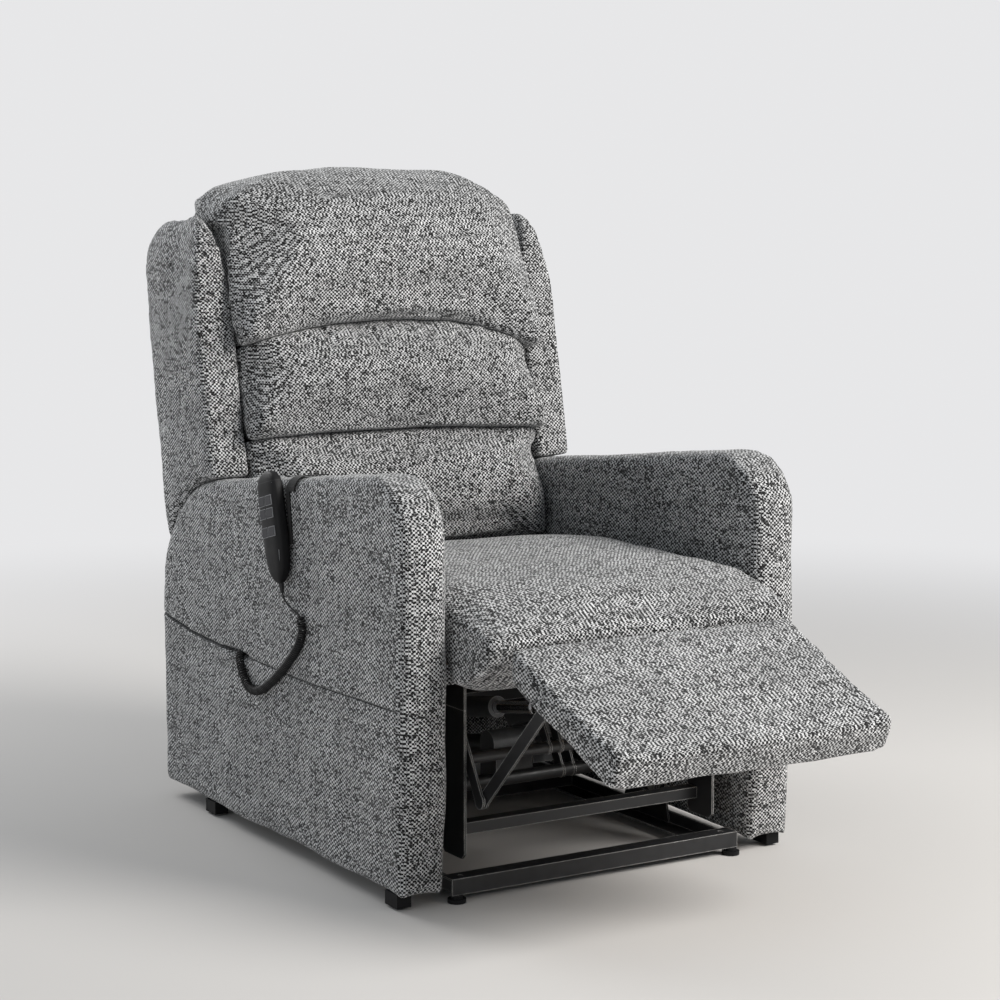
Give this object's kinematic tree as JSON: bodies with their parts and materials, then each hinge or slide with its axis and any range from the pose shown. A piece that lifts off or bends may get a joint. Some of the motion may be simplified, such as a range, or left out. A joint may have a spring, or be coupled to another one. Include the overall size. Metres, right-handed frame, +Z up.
{
  "type": "lift recliner chair",
  "caption": "Upholstered lift recliner chair in grey tweed, powered lift base, reclining back, fold-out legrest and corded handset.",
  "frame": {"origin": "on the floor, at the centre of the overall width and depth in the stored pose", "axes": "+Z up, -Y towards the front of the chair, where the legrest opens; the handset is on the -X arm"},
  "size_m": [0.739, 1.317, 1.0886],
  "materials": {
    "black_steel": "satin",
    "zinc_steel": "satin",
    "chrome_rod": "gloss",
    "grey_motor": "satin",
    "black_plastic": "matte",
    "black_strap": "matte",
    "black_cord": "satin",
    "key_rubber": "matte",
    "timber": "matte",
    "deck_cloth": "matte",
    "tweed": "matte"
  },
  "bodies": {
    "base": {"base_front_bar": "black_steel", "base_cross_bars": "black_steel", "base_rails": "black_steel", "base_feet": "black_plastic", "base_pivot_brackets": "black_steel", "base_pins": "zinc_steel"},
    "lift_arms": {"front_lift_links": "black_steel", "lift_torque_tube": "black_steel"},
    "rear_arms": {"rear_lift_links": "black_steel"},
    "chassis": {"chassis_rails": "black_steel", "chassis_columns": "black_steel", "chassis_lift_plates": "black_steel", "chassis_pins": "zinc_steel", "chassis_front_bar": "black_steel", "chassis_rear_tube": "black_steel", "motor_crossbar": "black_steel", "seat_side_rails": "timber", "seat_cross_rails": "timber", "seat_deck": "deck_cloth", "seat_cushion": "tweed", "side_panel_right": "tweed", "side_panel_left": "tweed", "arm_pad_right": "tweed", "arm_pad_left": "tweed", "arm_spacers": "black_steel", "arm_glides": "black_plastic", "rear_valance": "tweed", "control_box": "black_plastic", "recline_motor": "grey_motor", "handset": "black_plastic", "handset_hook": "black_strap", "handset_lead": "black_cord", "handset_curly_cord": "black_cord"},
    "back": {"back_side_rails": "timber", "back_cross_rails": "timber", "recliner_brackets": "black_steel", "recline_lever": "black_steel", "back_panel": "tweed", "wing_right": "tweed", "wing_left": "tweed", "head_cushion": "tweed", "middle_cushion": "tweed", "lumbar_cushion": "tweed"},
    "legrest_rear": {"legrest_rear_links": "black_steel", "legrest_tube": "black_steel"},
    "legrest_front": {"legrest_front_links": "black_steel"},
    "legrest": {"legrest_brackets": "black_steel", "legrest_board": "timber", "legrest_pad": "tweed"},
    "lift_actuator_rod": {"lift_rod": "chrome_rod"},
    "lift_actuator_motor": {"lift_motor": "grey_motor"},
    "legrest_actuator_motor": {"legrest_motor": "grey_motor"},
    "legrest_actuator_rod": {"legrest_rod": "chrome_rod"},
    "recline_actuator_rod": {"recline_rod": "chrome_rod"},
    "key_1": {"key_1": "key_rubber"},
    "key_2": {"key_2": "key_rubber"},
    "key_3": {"key_3": "key_rubber"},
    "key_4": {"key_4": "key_rubber"},
    "key_5": {"key_5": "key_rubber"},
    "key_6": {"key_6": "key_rubber"}
  },
  "joints": [
    {"name": "lift", "type": "hinge", "parent": "base", "child": "lift_arms", "pos_m": [0.0135, -0.06922, 0.075], "axis": [1, 0, 0], "range_deg": [0, 60]},
    {"name": "rear_arm_pivot", "type": "hinge", "parent": "base", "child": "rear_arms", "pos_m": [0.0135, 0.00078, 0.088], "axis": [1, 0, 0], "range_deg": [0, 55.78]},
    {"name": "chassis_tilt", "type": "hinge", "parent": "lift_arms", "child": "chassis", "pos_m": [0.0135, 0.18478, 0.085], "axis": [1, 0, 0], "range_deg": [-38.32, 0]},
    {"name": "recline", "type": "hinge", "parent": "chassis", "child": "back", "pos_m": [0.0135, 0.40578, 0.35], "axis": [-1, 0, 0], "range_deg": [0, 40]},
    {"name": "legrest_swing", "type": "hinge", "parent": "chassis", "child": "legrest_rear", "pos_m": [0.0135, -0.17922, 0.314], "axis": [-1, 0, 0], "range_deg": [-52.4, 18.3]},
    {"name": "legrest_knee", "type": "hinge", "parent": "legrest_rear", "child": "legrest_front", "pos_m": [0.0135, -0.27722, 0.151], "axis": [-1, 0, 0], "range_deg": [-13.9, 39.8]},
    {"name": "legrest_tilt", "type": "hinge", "parent": "legrest_front", "child": "legrest", "pos_m": [0.0135, -0.43922, 0.312], "axis": [-1, 0, 0], "range_deg": [-54.1, 18.9]},
    {"name": "lift_actuator_pivot", "type": "hinge", "parent": "base", "child": "lift_actuator_rod", "pos_m": [0.0935, 0.43578, 0.06], "axis": [1, 0, 0], "range_deg": [0, 1.95]},
    {"name": "lift_actuator_stroke", "type": "slide", "parent": "lift_actuator_rod", "child": "lift_actuator_motor", "axis": [0, -0.9802, 0.198], "range_m": [0, 0.0892]},
    {"name": "legrest_actuator_pivot", "type": "hinge", "parent": "chassis", "child": "legrest_actuator_motor", "pos_m": [-0.0565, 0.11778, 0.205], "axis": [-1, 0, 0], "range_deg": [-0.8, 0.35]},
    {"name": "legrest_actuator_stroke", "type": "slide", "parent": "legrest_actuator_motor", "child": "legrest_actuator_rod", "axis": [0, -0.9849, 0.1729], "range_m": [-0.052, 0.0185]},
    {"name": "recline_actuator_stroke", "type": "slide", "parent": "chassis", "child": "recline_actuator_rod", "axis": [0, 0.9697, 0.2442], "range_m": [-0.0616, 0]},
    {"name": "key_1_press", "type": "slide", "parent": "chassis", "child": "key_1", "axis": [1, 0, 0], "range_m": [0, 0.0009], "stiffness_N_per_m": 600, "springref_m": -0.0006},
    {"name": "key_2_press", "type": "slide", "parent": "chassis", "child": "key_2", "axis": [1, 0, 0], "range_m": [0, 0.0009], "stiffness_N_per_m": 600, "springref_m": -0.0006},
    {"name": "key_3_press", "type": "slide", "parent": "chassis", "child": "key_3", "axis": [1, 0, 0], "range_m": [0, 0.0009], "stiffness_N_per_m": 600, "springref_m": -0.0006},
    {"name": "key_4_press", "type": "slide", "parent": "chassis", "child": "key_4", "axis": [1, 0, 0], "range_m": [0, 0.0009], "stiffness_N_per_m": 600, "springref_m": -0.0006},
    {"name": "key_5_press", "type": "slide", "parent": "chassis", "child": "key_5", "axis": [1, 0, 0], "range_m": [0, 0.0009], "stiffness_N_per_m": 600, "springref_m": -0.0006},
    {"name": "key_6_press", "type": "slide", "parent": "chassis", "child": "key_6", "axis": [1, 0, 0], "range_m": [0, 0.0009], "stiffness_N_per_m": 600, "springref_m": -0.0006}
  ],
  "couplings": [
    {"joint": "rear_arm_pivot", "follows": "lift", "ratio": 0.928},
    {"joint": "chassis_tilt", "follows": "lift", "ratio": -0.637},
    {"joint": "lift_actuator_pivot", "follows": "lift", "ratio": 0.03057},
    {"joint": "lift_actuator_stroke", "follows": "lift", "m_per_rad": 0.08467},
    {"joint": "legrest_knee", "follows": "legrest_swing", "ratio": -0.7583},
    {"joint": "legrest_tilt", "follows": "legrest_swing", "ratio": 1.0305},
    {"joint": "legrest_actuator_pivot", "follows": "legrest_swing", "ratio": 0.01322},
    {"joint": "legrest_actuator_stroke", "follows": "legrest_swing", "m_per_rad": 0.05634},
    {"joint": "recline_actuator_stroke", "follows": "recline", "m_per_rad": -0.08748}
  ]
}
